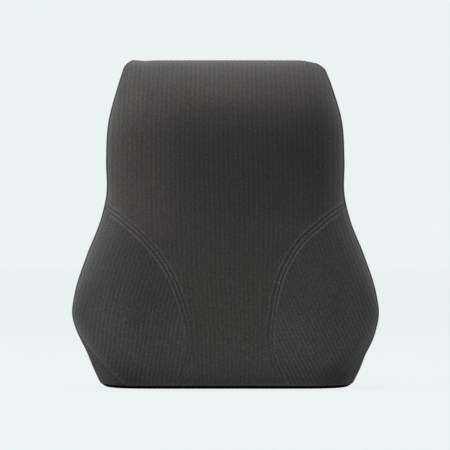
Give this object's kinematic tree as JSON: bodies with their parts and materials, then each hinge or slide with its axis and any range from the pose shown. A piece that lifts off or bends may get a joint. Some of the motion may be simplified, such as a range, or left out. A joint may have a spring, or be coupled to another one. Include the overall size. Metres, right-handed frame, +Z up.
{
  "type": "lumbar support cushion",
  "caption": "Contoured foam lumbar support cushion in a charcoal ribbed-knit zipped cover, with curved side wings and an elastic strap and side-release buckle across its back.",
  "frame": {"origin": "centre of the flat base, on the surface the cushion stands on", "axes": "+Z up, +X to the right of someone facing the front, the front faces -Y and the flat back faces +Y"},
  "size_m": [0.33, 0.1226, 0.354],
  "materials": {
    "foam": "matte",
    "liner_jersey": "matte",
    "ribbed_knit": "matte",
    "base_fabric": "matte",
    "topstitch_thread": "satin",
    "label_satin": "satin",
    "zip_tape": "matte",
    "zip_coil": "satin",
    "zip_metal": "satin",
    "zip_slider_metal": "satin",
    "elastic_webbing": "matte",
    "buckle_plastic": "satin"
  },
  "bodies": {
    "cushion": {"back_panel_lower": "ribbed_knit", "back_panel_upper": "ribbed_knit", "bottom_panel": "base_fabric", "buckle_female": "buckle_plastic", "buckle_male": "buckle_plastic", "care_label": "label_satin", "foam_core": "foam", "front_center_panel": "ribbed_knit", "inner_liner": "liner_jersey", "left_side_gusset": "ribbed_knit", "left_wing_panel": "ribbed_knit", "left_wing_topstitch_inner": "topstitch_thread", "left_wing_topstitch_outer": "topstitch_thread", "right_side_gusset": "ribbed_knit", "right_wing_panel": "ribbed_knit", "right_wing_topstitch_inner": "topstitch_thread", "right_wing_topstitch_outer": "topstitch_thread", "strap_left": "elastic_webbing", "strap_right": "elastic_webbing", "zip_bottom_stop": "zip_metal", "zip_coil_lower": "zip_coil", "zip_coil_upper": "zip_coil", "zip_tape_lower": "zip_tape", "zip_tape_upper": "zip_tape", "zip_top_stop_lower": "zip_metal", "zip_top_stop_upper": "zip_metal"},
    "zip_slider": {"zip_slider_body": "zip_slider_metal"},
    "zip_pull": {"zip_pull_tab": "zip_slider_metal"},
    "prong_upper": {"buckle_prong_upper": "buckle_plastic"},
    "prong_lower": {"buckle_prong_lower": "buckle_plastic"}
  },
  "joints": [
    {"name": "zip_slide", "type": "slide", "parent": "cushion", "child": "zip_slider", "axis": [1, 0, 0], "range_m": [0, 0.225]},
    {"name": "zip_pull_swing", "type": "hinge", "parent": "zip_slider", "child": "zip_pull", "pos_m": [-0.112, 0.0445, 0.035], "axis": [0, 0, 1], "range_deg": [0, 170]},
    {"name": "prong_upper_squeeze", "type": "hinge", "parent": "cushion", "child": "prong_upper", "pos_m": [0.0028, 0.0467, 0.203], "axis": [0, -1, 0], "range_deg": [0, 8], "stiffness_Nm_per_rad": 0.5},
    {"name": "prong_lower_squeeze", "type": "hinge", "parent": "cushion", "child": "prong_lower", "pos_m": [0.0028, 0.0467, 0.177], "axis": [0, 1, 0], "range_deg": [0, 8], "stiffness_Nm_per_rad": 0.5}
  ],
  "couplings": [
    {"joint": "prong_lower_squeeze", "follows": "prong_upper_squeeze", "ratio": 1}
  ]
}
